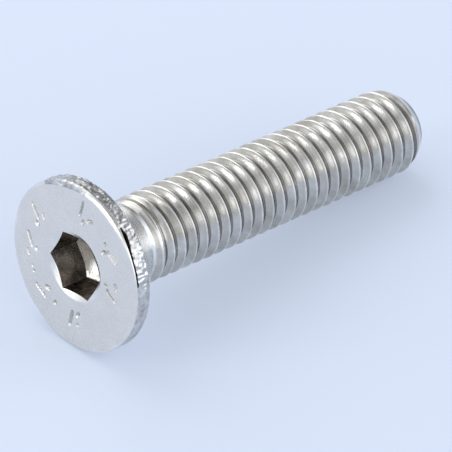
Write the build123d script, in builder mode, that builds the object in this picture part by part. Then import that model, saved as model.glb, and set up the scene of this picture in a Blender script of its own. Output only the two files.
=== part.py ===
from build123d import *
from math import atan2, ceil, cos, radians, sin, tan
import os

# Countersunk screw with a hexagon socket, threaded close up to the head.
# Lengths are in millimetres and angles in degrees. The screw is drawn along Z,
# with the flat face of its head at zero, and is then laid down as it rests.

# Thread: single start, right-hand. Its groove is drawn as a plain V that leaves narrow
# crests and stops short of the full depth of a metric thread.
thread_diameter = 5.95
thread_pitch = 1.0
crest_flat = 0.125
groove_depth = 0.35
groove_overcut = 0.3

# Length, chamfered tip, and the last full crest before it on the underside
screw_length = 30.0
tip_diameter = 4.5
tip_cone_angle = 90.0
last_crest_to_tip = 1.45

# Head: flat face with a bevelled edge, upright rim and seating cone
head_diameter = 12.0
head_cone_angle = 90.0
rim_height = 1.15
bevel_width = 0.17
bevel_height = 0.2

# Neck behind the cone, where the thread runs out
neck_step = 0.275
neck_length = 0.55
neck_fillet = 0.12
entry_cone_angle = 50.0
runout_cone_angle = 60.0
core_overlap = 0.2

# Hexagon socket with a shallow mouth chamfer and a punched floor
socket_sides = 6
socket_across_flats = 4.2
socket_depth = 2.55
socket_turn = 24.5
mouth_diameter = 5.08
mouth_cone_angle = 130.0
floor_cone_diameter = 3.4
floor_cone_angle = 150.0

# Values that follow: thread
crest_radius = thread_diameter / 2
root_radius = crest_radius - groove_depth
groove_outside = crest_radius + groove_overcut
groove_half_mouth = (thread_pitch - crest_flat) / 2
groove_half_outside = groove_half_mouth * (groove_depth + groove_overcut) / groove_depth

# Values that follow: head and neck
head_radius = head_diameter / 2
face_radius = head_radius - bevel_width
neck_radius = crest_radius - neck_step
core_radius = root_radius - core_overlap
cone_slope = tan(radians(head_cone_angle / 2))
entry_slope = tan(radians(entry_cone_angle / 2))
runout_slope = tan(radians(runout_cone_angle / 2))
cone_back = rim_height + (head_radius - neck_radius) / cone_slope
neck_back = cone_back + neck_length
runout_back = neck_back + (neck_radius - core_radius) / runout_slope
shank_front = neck_back - (neck_radius - core_radius) / entry_slope
crest_front = neck_back + (crest_radius - neck_radius) / entry_slope

# Values that follow: tip, and the place of the thread along the shank
tip_radius = tip_diameter / 2
tip_front = screw_length - (crest_radius - tip_radius) / tan(radians(tip_cone_angle / 2))
last_crest = screw_length - last_crest_to_tip
last_crest_middle = last_crest - crest_flat / 2
turns_to_neck = ceil((last_crest_middle - shank_front) / thread_pitch) + 1
thread_front = last_crest_middle - turns_to_neck * thread_pitch
thread_turns = ceil((screw_length - thread_front) / thread_pitch) + 1

# Values that follow: socket
mouth_radius = mouth_diameter / 2
mouth_cone_depth = mouth_radius / tan(radians(mouth_cone_angle / 2))
floor_radius = floor_cone_diameter / 2
floor_tip = socket_depth + floor_radius / tan(radians(floor_cone_angle / 2))

# At rest the back edge of the rim and the last full crest touch the surface.
rest_tilt = atan2(head_radius - crest_radius, last_crest - rim_height)
rest_height = head_radius * cos(rest_tilt) + rim_height * sin(rest_tilt)
head_reach = face_radius * sin(rest_tilt)
tip_reach = screw_length * cos(rest_tilt) + tip_radius * sin(rest_tilt)
rest_plane = Plane(
    origin=((head_reach - tip_reach) / 2, 0, rest_height),
    x_dir=(sin(rest_tilt), 0, cos(rest_tilt)),
    z_dir=(cos(rest_tilt), 0, -sin(rest_tilt)),
)

with BuildPart() as screw:
    # Threaded shank: a turned bar with a chamfered tip, cut by one helical groove
    with BuildSketch(Plane.YZ):
        with BuildLine():
            Polyline(
                (0, shank_front),
                (core_radius, shank_front),
                (crest_radius, crest_front),
                (crest_radius, tip_front),
                (tip_radius, screw_length),
                (0, screw_length),
                close=True,
            )
        make_face()
    revolve(axis=Axis.Z)

    with BuildLine() as groove_path:
        for turn in range(thread_turns):
            Helix(
                pitch=thread_pitch,
                height=thread_pitch,
                radius=root_radius,
                center=(0, 0, thread_front + turn * thread_pitch),
            )
    with BuildSketch(Plane.XZ):
        with BuildLine():
            Polyline(
                (root_radius, thread_front),
                (groove_outside, thread_front - groove_half_outside),
                (groove_outside, thread_front + groove_half_outside),
                close=True,
            )
        make_face()
    sweep(path=groove_path.wire(), is_frenet=True, mode=Mode.SUBTRACT)

    # Head and neck: the cone at the back of the neck fills the groove where it runs out
    with BuildSketch(Plane.YZ):
        with BuildLine():
            FilletPolyline(
                (0, 0),
                (face_radius, 0),
                (head_radius, bevel_height),
                (head_radius, rim_height),
                (neck_radius, cone_back),
                (neck_radius, neck_back),
                (core_radius, runout_back),
                (0, runout_back),
                radius=(0, 0, 0, 0, neck_fillet, 0, 0, 0),
                close=True,
            )
        make_face()
    revolve(axis=Axis.Z)

    # Hexagon socket
    with BuildSketch(Plane.XY):
        RegularPolygon(
            radius=socket_across_flats / 2,
            side_count=socket_sides,
            major_radius=False,
            rotation=socket_turn,
        )
    extrude(amount=socket_depth, mode=Mode.SUBTRACT)

    # Chamfer round its mouth and shallow cone in its floor
    with BuildSketch(Plane.YZ):
        with BuildLine():
            Polyline(
                (0, 0),
                (mouth_radius, 0),
                (0, mouth_cone_depth),
                close=True,
            )
        make_face()
        with BuildLine():
            Polyline(
                (0, 0),
                (floor_radius, 0),
                (floor_radius, socket_depth),
                (0, floor_tip),
                close=True,
            )
        make_face()
    revolve(axis=Axis.Z, mode=Mode.SUBTRACT)

screw.part.location = rest_plane.location
screw.part.label = "screw"
os.makedirs("parts", exist_ok=True)
export_step(screw.part, "parts/screw.step")
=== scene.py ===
from math import atan2, cos, pi, radians, sin, tan

import bmesh
import bpy
import numpy as np
from mathutils import Euler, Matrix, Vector


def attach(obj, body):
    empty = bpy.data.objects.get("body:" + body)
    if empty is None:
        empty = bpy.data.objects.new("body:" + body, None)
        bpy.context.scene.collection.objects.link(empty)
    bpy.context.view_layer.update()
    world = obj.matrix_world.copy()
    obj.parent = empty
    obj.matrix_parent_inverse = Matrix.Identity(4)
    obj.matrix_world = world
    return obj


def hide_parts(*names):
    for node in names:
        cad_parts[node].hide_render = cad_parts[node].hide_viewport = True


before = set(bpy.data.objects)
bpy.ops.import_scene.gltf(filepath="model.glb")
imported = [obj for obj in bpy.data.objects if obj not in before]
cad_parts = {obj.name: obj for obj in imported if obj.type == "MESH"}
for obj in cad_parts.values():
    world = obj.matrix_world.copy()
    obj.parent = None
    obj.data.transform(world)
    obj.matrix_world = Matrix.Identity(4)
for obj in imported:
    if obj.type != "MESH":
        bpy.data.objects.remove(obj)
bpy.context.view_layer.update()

MM = 0.001
rng = np.random.default_rng(11)

# Sizes in millimetres along the screw's own axis, with the flat face at zero
LENGTH = 30.0
PITCH = 1.0
CREST_R = 2.975
GROOVE = 0.5
HALF_CREST = 0.055
FLANK_ANGLE = radians(30)
HEAD_R = 6.0
BEVEL = 0.17
RIM = 1.15
NECK_R = 2.7
CONE_END = RIM + HEAD_R - NECK_R
NECK_END = CONE_END + 0.35
LAST_CREST = 28.4875
LAST_CONTACT = LENGTH - 1.45
TIP_START = 28.35
TIP_R = 2.25
END_R = 1.8
END_ROUND = 0.22
END_DROP = 0.175
HEX_HALF = 2.1
HEX_TURN = 24.5
SOCKET_DEPTH = 2.55
FLOOR_R = 1.7
MOUTH_R = 2.54
MOUTH_SLOPE = 1 / tan(radians(65))
STROKE_DEPTH = 0.15
STROKE_LIP = 0.012

# How it lies: on the back edge of its rim and on its last full crest
TILT = atan2(HEAD_R - CREST_R, LAST_CONTACT - RIM)
HEIGHT = HEAD_R * cos(TILT) + RIM * sin(TILT)
START_X = ((HEAD_R - BEVEL) * sin(TILT) - LENGTH * cos(TILT) - TIP_R * sin(TILT)) / 2
AXES = np.array([[sin(TILT), 0, cos(TILT)], [0, -1, 0], [cos(TILT), 0, -sin(TILT)]])
ORIGIN = np.array([START_X, 0, HEIGHT])

# How finely it is drawn: columns round the head, rows on the rim, steps in a turn of the thread
COLUMNS = 576
RIM_ROWS = 15
STEPS = 96

FINISHES = range(11)
FACE, RIM_BAND, TURNED, THREAD, PAINTED_SOCKET_SHADE, FLOOR, CREST, PAINTED_CREVICE_SHADE, CHAMFER, PAINTED_ROOT_SHADE, PAINTED_MARK_SHADE = FINISHES


def smooth(a, b, x):
    """Zero up to a and one from b on, with a soft step between them."""
    t = np.clip((x - a) / (b - a), 0, 1)
    return t * t * (3 - 2 * t)


def smax(a, b, k):
    """The larger of two values, with the corner between them rounded by k."""
    return (a + b + np.sqrt((a - b) ** 2 + k * k)) / 2


def smin(a, b, k):
    """The smaller of two values, with the corner between them rounded by k."""
    return (a + b - np.sqrt((a - b) ** 2 + k * k)) / 2


def lattice(turns, rows, facets=False):
    """Noise between -1 and 1 that closes round the axis: turns cells round, rows cells along."""
    table = rng.uniform(-1, 1, (rows + 2, turns))

    def value(u, v):
        u = np.mod(u, 1) * turns
        v = np.clip(v, 0, 1) * rows
        i, j = np.floor(u).astype(int), np.floor(v).astype(int)
        s, t = u - i, v - j
        if not facets:
            s, t = s * s * (3 - 2 * s), t * t * (3 - 2 * t)
        i, k = i % turns, (i + 1) % turns
        low = table[j, i] * (1 - s) + table[j, k] * s
        high = table[j + 1, i] * (1 - s) + table[j + 1, k] * s
        return low * (1 - t) + high * t

    return value


class Shell:
    """Vertices and faces of the screw in its own frame, with a finish for each face."""

    def __init__(self):
        self.points, self.faces, self.finish = [], [], []
        self.count = 0

    def add(self, r, angle, z):
        points = np.stack([r * np.cos(angle), r * np.sin(angle), z], -1).reshape(-1, 3)
        first = self.count
        self.points.append(points)
        self.count += len(points)
        return first

    def lathe(self, r, angle, z, finish):
        """Rows that close round the axis, in order from the socket's floor to the tip.
        finish is one number, or one for each face."""
        rows, columns = r.shape
        first = self.add(r, np.broadcast_to(angle, r.shape), z)
        j, i = np.meshgrid(np.arange(rows - 1), np.arange(columns), indexing="ij")
        k = (i + 1) % columns
        corners = [j * columns + i, j * columns + k, (j + 1) * columns + k, (j + 1) * columns + i]
        self.faces += (first + np.stack(corners, -1)).reshape(-1, 4).tolist()
        self.finish += np.broadcast_to(finish, (rows - 1, columns)).ravel().tolist()


shell = Shell()
head_angle = np.arange(COLUMNS) * 2 * pi / COLUMNS + radians(HEX_TURN)
head_turn = head_angle / (2 * pi)


def round_the_head(table):
    """Value for each column from a table of azimuth and value that closes round the axis."""
    places, values = zip(*table)
    return np.interp(np.degrees(head_angle), places, values, period=360)


# Socket: a hexagon with slightly rounded corners and a punched floor, which is a bowl that is
# flatter on one side than on the other
SHARPNESS = 260
wall = 0
for side in range(6):
    middle = radians(HEX_TURN + 30 + 60 * side)
    wall = wall + np.maximum(np.cos(head_angle - middle) / HEX_HALF, 0) ** SHARPNESS
wall = wall ** (-1 / SHARPNESS)

BOWL_SLOPE = 0.4
uneven_slope = np.interp(
    np.degrees(head_angle),
    [24.5, 170, 185, 205, 230, 290, 384.5],
    [0.35, 0.4, 0.5, 0.5, 0.26, 0.24, 0.35],
)


def bowl(r):
    slope = BOWL_SLOPE + (uneven_slope - BOWL_SLOPE) * smooth(0.3, 1.0, r)
    return SOCKET_DEPTH + slope * (FLOOR_R - r)


rows = []
kinds = []


def row(r, z, kind):
    rows.append((np.broadcast_to(r, head_angle.shape), np.broadcast_to(z, head_angle.shape)))
    kinds.append(kind)


for share in (0.02, 0.15, 0.3, 0.45, 0.6, 0.7, 0.8, 0.9, 0.99):
    row(wall * share, bowl(wall * share), FLOOR)
foot = bowl(wall) - 0.02
row(wall - 0.004, foot, FLOOR)
wall_top = (MOUTH_R - wall) * MOUTH_SLOPE
# The socket's walls take a dark finish: painted shade inside the socket.
for share in (0.7, 0.4, 0.15, 0.0):
    row(wall, wall_top + (foot - 0.05 - wall_top) * share, PAINTED_SOCKET_SHADE)

# Mouth chamfer
row(wall + 0.012, wall_top - 0.01, CHAMFER)
for share in (0.2, 0.4, 0.6, 0.8, 0.95):
    row(wall + (MOUTH_R - wall) * share, wall_top * (1 - share) ** 1.12, CHAMFER)
row(MOUTH_R + 0.02, 0.002, FACE)

# Plain dashes and dots pressed into the face where the real one is stamped: azimuth, radius,
# turn of the dash from the radius, half length, half width
STROKES = [
    (299.0, 4.62, 20, 0.46, 0.16), (290.0, 4.05, 0, 0.05, 0.2), (304.5, 3.95, 30, 0.12, 0.14),
    (269.0, 4.35, 62, 0.46, 0.16), (262.0, 3.72, 0, 0.05, 0.18), (256.0, 4.55, 70, 0.14, 0.13),
    (243.5, 4.42, 84, 0.04, 0.1), (238.5, 4.4, 0, 0.04, 0.1), (233.5, 4.42, 0, 0.02, 0.08),
    (219.0, 3.7, 50, 0.12, 0.19), (221.0, 4.5, 78, 0.5, 0.15), (203.0, 3.95, 0, 0.04, 0.16),
    (179.0, 3.98, 10, 0.5, 0.16), (169.0, 3.5, 40, 0.12, 0.17), (170.0, 4.25, 0, 0.03, 0.13),
    (96.5, 3.6, 24, 0.42, 0.16), (84.0, 3.98, 70, 0.16, 0.16), (87.5, 3.02, 0, 0.04, 0.13),
    (54.0, 4.15, 66, 0.44, 0.16), (46.5, 3.55, 10, 0.12, 0.19), (40.0, 4.05, 0, 0.04, 0.13),
    (2.0, 4.6, 8, 0.5, 0.16), (14.5, 4.15, 60, 0.15, 0.17), (6.0, 3.68, 0, 0.06, 0.18),
]


def pressed(r, a):
    """Depth of the strokes, less the metal that they push up beside them."""
    x, y = r * np.cos(a), r * np.sin(a)
    depth = np.zeros_like(x)
    for azimuth, radius, turn, half, width in STROKES:
        place, way = radians(azimuth), radians(azimuth + turn)
        dx, dy = x - radius * cos(place), y - radius * sin(place)
        along = dx * cos(way) + dy * sin(way)
        across = -dx * sin(way) + dy * cos(way)
        away = np.hypot(np.maximum(np.abs(along) - half, 0), across) / width
        depth = np.maximum(depth, STROKE_DEPTH * np.clip(1 - away, 0, 1))
        depth = depth - STROKE_LIP * np.exp(-((away - 1.25) / 0.3) ** 2)
    return np.maximum(depth, 0)


# Flat face, very slightly uneven
dish = lattice(9, 5)
for r in np.concatenate([[2.72, 2.84], np.arange(2.9, 5.1, 0.06), [5.2, 5.35, 5.5]]):
    radius = np.full_like(head_angle, r)
    hollow = 0.004 * (1 + dish(head_turn, (radius - 2.5) / 3.5))
    row(radius, pressed(radius, head_angle) + hollow, FACE)

# The bevel is widest at the upper right, and is cut off by a crevice in the sheared rim
face_edge = round_the_head([
    (0, 5.66), (10, 5.69), (20, 5.68), (35, 5.67), (45, 5.74), (55, 5.85), (70, 5.87), (90, 5.84),
    (120, 5.8), (200, 5.78), (280, 5.76), (318, 5.8), (332, 5.68), (343, 5.6), (352, 5.61),
])
bevel_end = round_the_head([
    (0, 0.3), (10, 0.3), (18, 0.36), (30, 0.38), (38, 0.32), (46, 0.2), (60, 0.13), (75, 0.15),
    (90, 0.2), (120, 0.2), (200, 0.2), (310, 0.18), (340, 0.3),
])
crevice = round_the_head([
    (0, 0.0), (35, 0.0), (39, 0.09), (43, 0.18), (48, 0.17), (52, 0.09), (57, 0.07), (70, 0.08),
    (75, 0.05), (82, 0.0), (270, 0.0),
])
FACE_DROP = 0.003
row(face_edge - 0.02, FACE_DROP, FACE)
r, z = (np.array(part) for part in zip(*rows))
finish = np.repeat(np.array(kinds[1:])[:, None], COLUMNS, 1)
# Faces pressed deeper than 0.03 take a darker finish: painted shade in the strokes.
finish[(finish == FACE) & (z[1:] > 0.03)] = PAINTED_MARK_SHADE
shell.lathe(r, head_angle, z, finish)

# Bevel, torn at the upper left, and the crevice at its end
torn, ridges, wave = lattice(170, 5, True), lattice(330, 3, True), lattice(23, 1)
upper_left = round_the_head([
    (0, 0.6), (12, 0.25), (40, 0.2), (55, 0.0), (315, 0.0), (332, 1.0), (350, 1.0),
])
BEVEL_SHAPE = [(0.03, 0.01), (0.3, 0.1), (0.62, 0.21), (0.88, 0.34), (0.97, 0.8)]
r, z = [face_edge - 0.02], [0 * head_angle + FACE_DROP]
for share, drop in BEVEL_SHAPE:
    tear = torn(head_turn + share / 90, np.full_like(head_turn, share))
    tear = np.clip(upper_left * (share > 0.1) * tear, 0, 1)
    r.append(face_edge + (HEAD_R - 0.007 - face_edge) * share - 0.03 * tear)
    z.append(bevel_end * drop + FACE_DROP + 0.07 * tear)
r += [HEAD_R - 0.012 - 0.9 * crevice, HEAD_R - 0.02 - 1.6 * crevice]
z += [bevel_end + 0.01, bevel_end + 0.03 + 0.9 * crevice]

# Sheared rim: dented metal, roughest at the upper right
upper_right = np.clip(np.cos(head_angle - radians(30)), 0, 1)
back = RIM + 0.11 * upper_right * (0.75 + 0.25 * wave(head_turn, 0 * head_turn))
start = bevel_end + 0.06 + 1.3 * crevice
rough = 0.25 + 0.75 * np.clip(0.2 + np.cos(head_angle - radians(25)), 0, 1)
for share in np.linspace(0, 1, RIM_ROWS):
    v = np.full_like(head_turn, share)
    dent = 0.55 * torn(head_turn + 0.01 * share, v) + 0.45 * ridges(head_turn, v)
    dent = rough * 0.1 * np.clip(0.4 + 0.75 * dent, 0, 1.2)
    shift = 0.02 * rough * torn(head_turn + 0.4, v) * (0 < share < 1)
    r.append(HEAD_R - 0.006 - dent - 0.02 * (share > 0.97))
    z.append(start + (back - start) * share + shift)
CONE_R = HEAD_R - 0.16
CONE_START = back + 0.1
r.append(np.full_like(head_angle, CONE_R))
z.append(CONE_START)
bevel_strips = len(BEVEL_SHAPE)
finish = np.full((len(r) - 1, COLUMNS), RIM_BAND)
finish[:bevel_strips] = np.where(upper_left > 0.5, RIM_BAND, CHAMFER)
# The crevice's faces take a near-black finish: painted shade in the crack between bevel and rim.
finish[bevel_strips:bevel_strips + 3] = np.where(crevice > 0.04, PAINTED_CREVICE_SHADE, RIM_BAND)
shell.lathe(np.array(r), head_angle, np.array(z), finish)

# Seating cone and neck, with faint turning marks
share = np.concatenate([np.linspace(0, 0.8, 8), np.linspace(0.825, 1, 8)])[:, None]
z = CONE_START * (1 - share) + NECK_END * share
r = smax(HEAD_R - 0.05 - (z - RIM), NECK_R + 0 * z, 0.2)
ripple = lattice(40, 20)
marks = ripple(np.broadcast_to(head_turn, r.shape), np.broadcast_to(share, r.shape))
r = r + 0.01 * marks * (share < 0.95)
r[0] = CONE_R
r[-1] = NECK_R + 0.02
shell.lathe(r, head_angle, z, TURNED)

# Thread: one strip of rows that climbs round the shank, shallow where it runs out at the neck
OFFSETS = np.array([
    -0.5, -0.43, -0.37, -0.28, -0.19, -0.11, -0.07, -0.035,
    0.0, 0.035, 0.07, 0.11, 0.19, 0.28, 0.37, 0.43,
])
width = len(OFFSETS)
first_turn = np.floor(NECK_END) - 2
turns = int(LENGTH - first_turn) + 2
along = (np.arange(turns)[:, None] + OFFSETS[None, :]).reshape(-1)
share = np.arange(STEPS) / STEPS
angle = share * 2 * pi
phase = (LAST_CREST - 0.5) % 1
z = first_turn + phase + along[:, None] + PITCH * share[None, :]
from_crest = np.broadcast_to(np.tile(OFFSETS, turns)[:, None], z.shape)
round_the_shank = np.broadcast_to(share, z.shape)

# Its groove: straight flanks between a rounded crest and a rounded root, with nicks and waves
flank = (np.abs(from_crest) - HALF_CREST) / tan(FLANK_ANGLE)
depth = smin(smax(flank, 0 * flank, 0.12), 0 * flank + GROOVE + 0.06, 0.3)
depth = depth * (1 - 0.7 * smooth(TIP_START + 0.1, TIP_START + 1.0, z))
nick = lattice(30, 60)
nicks = np.clip(nick(round_the_shank, z / LENGTH), 0, 1) * (np.abs(from_crest) < 0.12)
depth = depth + 0.016 * nicks
uneven = lattice(34, 80)
depth = depth + 0.012 * uneven(round_the_shank, z / LENGTH)

# Its run-out at the neck, the long rounded chamfer of the tip and the edge of the end face
swell = smooth(CONE_END + 0.25, CONE_END + 0.85, z)
r = NECK_R + (CREST_R - NECK_R) * swell - depth * smooth(CONE_END + 0.55, CONE_END + 1.8, z)
tip_share = np.clip((z - TIP_START) / (LENGTH - TIP_START), 0, 1)
chamfer = CREST_R + 0.03 + np.maximum(TIP_START - z, 0) - tip_share ** 1.3
r = smin(r, chamfer, 0.05)
end_share = np.clip((z - LENGTH + END_ROUND) / END_ROUND, 0, 1)
r = r - END_DROP * (1 - np.sqrt(1 - end_share ** 2))
z = np.clip(z, NECK_END, LENGTH)
r = np.where(z >= LENGTH, END_R, r)
r = np.where(z <= NECK_END, NECK_R + 0.02, r)

rows, columns = r.shape
first = shell.add(r, np.broadcast_to(angle, r.shape), z)
for j in range(rows - 1):
    middle = abs(OFFSETS[j % width] + 0.02)
    for i in range(columns):
        if i < columns - 1:
            quad = ((j, i), (j, i + 1), (j + 1, i + 1), (j + 1, i))
        elif j + 1 + width < rows:
            quad = ((j, i), (j + width, 0), (j + 1 + width, 0), (j + 1, i))
        else:
            continue
        heights = [z[a, b] for a, b in quad]
        if max(heights) - min(heights) < 1e-9:
            continue
        shell.faces.append([first + a * columns + b for a, b in quad])
        # Roots past the run-out take a dark finish: painted shade in the bottom of the groove.
        if middle < 0.08:
            shell.finish.append(CREST)
        elif middle > 0.38 and z[j, i] > CONE_END + 1.1:
            shell.finish.append(PAINTED_ROOT_SHADE)
        else:
            shell.finish.append(THREAD)

# End of the tip
r = np.array([END_R, END_R * 0.8, END_R * 0.5, 0.03])[:, None] + 0 * angle[None, :]
z = np.array([LENGTH, LENGTH, LENGTH - 0.03, LENGTH - 0.06])[:, None] + 0 * angle[None, :]
shell.lathe(r, angle, z, TURNED)

points = ORIGIN + np.concatenate(shell.points) @ AXES
mesh = bpy.data.meshes.new("machine_screw")
mesh.from_pydata((points * MM).tolist(), [], shell.faces)
mesh.polygons.foreach_set("material_index", shell.finish)
body = bmesh.new()
body.from_mesh(mesh)
bmesh.ops.remove_doubles(body, verts=body.verts, dist=1e-7)
bmesh.ops.dissolve_degenerate(body, edges=body.edges, dist=1e-8)
body.to_mesh(mesh)
body.free()
mesh.polygons.foreach_set("use_smooth", [p.material_index != RIM_BAND for p in mesh.polygons])
mesh.set_sharp_from_angle(angle=radians(38))
screw = bpy.data.objects.new("machine_screw", mesh)
bpy.context.scene.collection.objects.link(screw)


# Materials
def node(tree, kind, inputs=None, **settings):
    """A new node with its settings, and its inputs linked or set to a value."""
    made = tree.nodes.new(kind)
    for key, value in settings.items():
        setattr(made, key, value)
    for key, value in (inputs or {}).items():
        if isinstance(value, bpy.types.NodeSocket):
            tree.links.new(value, made.inputs[key])
        else:
            made.inputs[key].default_value = value
    return made


def material(name):
    made = bpy.data.materials.new(name)
    made.use_nodes = True
    tree = made.node_tree
    tree.nodes.clear()
    return made, tree, tree.nodes.new("ShaderNodeOutputMaterial")


def ramp(tree, value, stops):
    made = node(tree, "ShaderNodeValToRGB", {"Fac": value})
    elements = made.color_ramp.elements
    while len(elements) < len(stops):
        elements.new(0.5)
    for element, (place, colour) in zip(elements, stops):
        element.position = place
        element.color = (*colour, 1)
    return made.outputs["Color"]


def steel(name, colours, roughness, grain, bump, patches=700.0, stretch=(1, 1, 1)):
    """Bright stainless steel: cloudy colour, uneven gloss and a fine grain, each at its own scale."""
    made, tree, out = material(name)
    where = node(tree, "ShaderNodeTexCoord").outputs["Object"]
    turned = node(tree, "ShaderNodeMapping", {"Vector": where, "Rotation": (0, TILT, 0)})
    turned = turned.outputs["Vector"]
    lined = node(tree, "ShaderNodeMapping", {"Vector": turned, "Scale": stretch})
    lined = lined.outputs["Vector"]
    cloud = node(tree, "ShaderNodeTexNoise", {
        "Vector": turned, "Scale": patches, "Detail": 4.0, "Roughness": 0.6,
    }).outputs["Fac"]
    colour = ramp(tree, cloud, list(zip((0.3, 0.55, 0.75), colours)))
    small = node(tree, "ShaderNodeTexNoise", {
        "Vector": lined, "Scale": grain, "Detail": 6.0, "Roughness": 0.65,
    }).outputs["Fac"]
    gloss = node(tree, "ShaderNodeMapRange", {
        "Value": small, "From Min": 0.3, "From Max": 0.7,
        "To Min": roughness[0], "To Max": roughness[1],
    }).outputs["Result"]
    relief = node(tree, "ShaderNodeBump", {
        "Height": small, "Strength": bump, "Distance": 0.03 * MM,
    }).outputs["Normal"]
    shader = node(tree, "ShaderNodeBsdfPrincipled", {
        "Base Color": colour, "Metallic": 1.0, "Roughness": gloss, "Normal": relief,
    })
    tree.links.new(shader.outputs[0], out.inputs["Surface"])
    return made


# Each finish's dark, middle and pale colour, range of roughness, scale of its grain, and bump
STEELS = {
    FACE: steel(
        "steel_face", [(0.78, 0.75, 0.7), (0.81, 0.78, 0.73), (0.84, 0.81, 0.76)],
        (0.24, 0.34), 9000.0, 0.12,
    ),
    RIM_BAND: steel(
        "steel_rim", [(0.34, 0.33, 0.32), (0.6, 0.59, 0.58), (0.92, 0.91, 0.9)],
        (0.12, 0.3), 5200.0, 0.4, patches=1500.0,
    ),
    TURNED: steel(
        "steel_turned", [(0.74, 0.74, 0.74), (0.85, 0.86, 0.86), (0.93, 0.94, 0.95)],
        (0.16, 0.32), 3000.0, 0.3, stretch=(4, 0.6, 0.6),
    ),
    THREAD: steel(
        "steel_thread", [(0.46, 0.43, 0.375), (0.6, 0.578, 0.53), (0.73, 0.72, 0.69)],
        (0.09, 0.2), 3600.0, 0.35,
    ),
    # Dark painted shade for the socket's walls
    PAINTED_SOCKET_SHADE: steel(
        "steel_painted_socket_shade", [(0.1, 0.085, 0.07), (0.22, 0.195, 0.17), (0.46, 0.4, 0.34)],
        (0.18, 0.36), 2600.0, 0.6, patches=1300.0,
    ),
    FLOOR: steel(
        "steel_floor", [(0.68, 0.62, 0.54), (0.86, 0.82, 0.76), (0.94, 0.92, 0.89)],
        (0.15, 0.3), 2600.0, 0.4,
    ),
    CREST: steel(
        "steel_crest", [(0.62, 0.6, 0.57), (0.78, 0.77, 0.75), (0.92, 0.92, 0.91)],
        (0.16, 0.3), 3600.0, 0.3,
    ),
    # Near-black painted shade for the crevice at the bevel's end
    PAINTED_CREVICE_SHADE: steel(
        "steel_painted_crevice_shade", [(0.04, 0.035, 0.03), (0.08, 0.07, 0.06), (0.16, 0.14, 0.12)],
        (0.4, 0.6), 5200.0, 0.4,
    ),
    CHAMFER: steel(
        "steel_chamfer", [(0.76, 0.73, 0.68), (0.84, 0.82, 0.78), (0.92, 0.9, 0.87)],
        (0.16, 0.26), 5200.0, 0.15,
    ),
    # Dark painted shade for the thread's roots
    PAINTED_ROOT_SHADE: steel(
        "steel_painted_root_shade", [(0.15, 0.14, 0.125), (0.24, 0.225, 0.21), (0.36, 0.345, 0.33)],
        (0.2, 0.4), 3600.0, 0.3,
    ),
    # Darker painted shade for the pressed strokes
    PAINTED_MARK_SHADE: steel(
        "steel_painted_mark_shade", [(0.42, 0.4, 0.37), (0.56, 0.54, 0.51), (0.72, 0.7, 0.67)],
        (0.22, 0.36), 5200.0, 0.3,
    ),
}
for kind in FINISHES:
    mesh.materials.append(STEELS[kind])

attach(screw, "root")
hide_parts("screw")

# Floor: plain and pale, mixed with a steady glow where the camera or a reflection sees it
FLOOR_REACH = 3.0
FLOOR_COLOUR = (0.75, 0.81, 0.935, 1)
GLOW_COLOUR = (0.72, 0.812, 1.0, 1)
GLOW_SHARE = 0.3
floor_mesh = bpy.data.meshes.new("floor")
corners = [(FLOOR_REACH * x, FLOOR_REACH * y, 0) for x, y in ((-1, -1), (1, -1), (1, 1), (-1, 1))]
floor_mesh.from_pydata(corners, [], [(0, 1, 2, 3)])
floor = bpy.data.objects.new("floor", floor_mesh)
bpy.context.scene.collection.objects.link(floor)
pale, tree, out = material("pale_floor")
path = node(tree, "ShaderNodeLightPath")
seen = path.outputs["Is Camera Ray"]
for ray in ("Is Glossy Ray", "Is Transmission Ray"):
    seen = node(tree, "ShaderNodeMath", {0: seen, 1: path.outputs[ray]}, operation="MAXIMUM")
    seen = seen.outputs[0]
share = node(tree, "ShaderNodeMath", {0: seen, 1: GLOW_SHARE}, operation="MULTIPLY").outputs[0]
plain = node(tree, "ShaderNodeBsdfDiffuse", {"Color": FLOOR_COLOUR}).outputs[0]
glow = node(tree, "ShaderNodeEmission", {"Color": GLOW_COLOUR, "Strength": 1.0}).outputs[0]
mixed = node(tree, "ShaderNodeMixShader", {0: share, 1: plain, 2: glow}).outputs[0]
tree.links.new(mixed, out.inputs["Surface"])
floor_mesh.materials.append(pale)

# The studio's pale panels, and the darker gaps between them: azimuth and height in degrees, level
PANELS = [
    (0, 3, 0.64), (60, 3, 0.38), (90, 3, 0.7), (120, 3, 0.44), (150, 3, 1.08), (180, 3, 0.78),
    (210, 3, 0.35), (240, 3, 0.37), (270, 3, 0.68), (300, 3, 1.0), (330, 3, 0.84),
    (0, 28, 0.3), (72, 28, 0.5), (108, 28, 0.37), (144, 28, 0.09), (180, 28, 0.1),
    (216, 28, 0.33), (252, 28, 0.75), (288, 28, 0.88), (324, 28, 1.05),
    (0, 55, 0.24), (60, 55, 0.75), (120, 55, 0.26), (180, 55, 0.6), (240, 55, 0.33),
    (0, 88, 0.17),
]
# Narrower strips among them
STRIPS = [
    (135, 24, 0.3), (147, 29, 0.75), (161, 30, 1.1), (174, 28, 0.4), (199, 7, 1.1), (308, 14, 0.7),
]
# How fast the light falls off beside a panel and beside a strip
WIDE, NARROW = 14.0, 60.0
LEVEL = 1.12
TINT = (0.957, 1.0, 1.06, 1)

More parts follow.
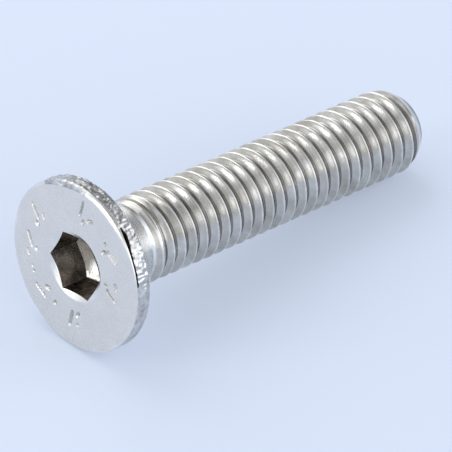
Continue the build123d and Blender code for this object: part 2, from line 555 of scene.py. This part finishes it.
world = bpy.data.worlds.new("studio")
bpy.context.scene.world = world
world.use_nodes = True
tree = world.node_tree
tree.nodes.clear()
out = tree.nodes.new("ShaderNodeOutputWorld")
direction = node(tree, "ShaderNodeTexCoord").outputs["Generated"]
level = 0.0
for azimuth, height, share, sharp in [(*p, WIDE) for p in PANELS] + [(*s, NARROW) for s in STRIPS]:
    aim = Euler((0, radians(-height), radians(azimuth))).to_matrix() @ Vector((1, 0, 0))
    near = node(tree, "ShaderNodeVectorMath", {0: direction, 1: aim}, operation="DOT_PRODUCT")
    fall = node(
        tree, "ShaderNodeMath", {0: near.outputs["Value"], 1: sharp, 2: -sharp},
        operation="MULTIPLY_ADD",
    )
    glow = node(tree, "ShaderNodeMath", {0: fall.outputs[0]}, operation="EXPONENT")
    level = node(
        tree, "ShaderNodeMath", {0: glow.outputs[0], 1: share * LEVEL, 2: level},
        operation="MULTIPLY_ADD",
    ).outputs[0]
back = node(tree, "ShaderNodeBackground", {"Color": TINT, "Strength": level}).outputs[0]
tree.links.new(back, out.inputs["Surface"])


# Soft round lamps, aimed at the middle of the screw
def lamp(name, place, size, power):
    light = bpy.data.lights.new(name, "AREA")
    light.shape = "DISK"
    light.size = size
    light.energy = power
    holder = bpy.data.objects.new(name, light)
    bpy.context.scene.collection.objects.link(holder)
    holder.location = place
    way = Vector((0, 0, 4 * MM)) - Vector(place)
    holder.rotation_euler = way.to_track_quat("-Z", "Y").to_euler()


lamp("lamp_back", (-0.02, 0.28, 0.34), 0.42, 0.34)
lamp("lamp_right", (0.14, 0.38, 0.26), 0.4, 0.18)
lamp("lamp_left", (-0.383, 0.14, 0.217), 0.19, 0.13)

# Camera at the photograph's angle
camera = bpy.data.cameras.new("camera")
camera.sensor_width = 36.0
camera.lens = 561.356
camera.clip_start = 0.01
camera.clip_end = 10.0
holder = bpy.data.objects.new("camera", camera)
bpy.context.scene.collection.objects.link(holder)
holder.location = (-0.2574562, -0.2755492, 0.2846719)
holder.rotation_euler = Euler((radians(53.1354), 0, radians(-42.9245)))
bpy.context.scene.camera = holder
bpy.context.scene.view_settings.view_transform = "Standard"
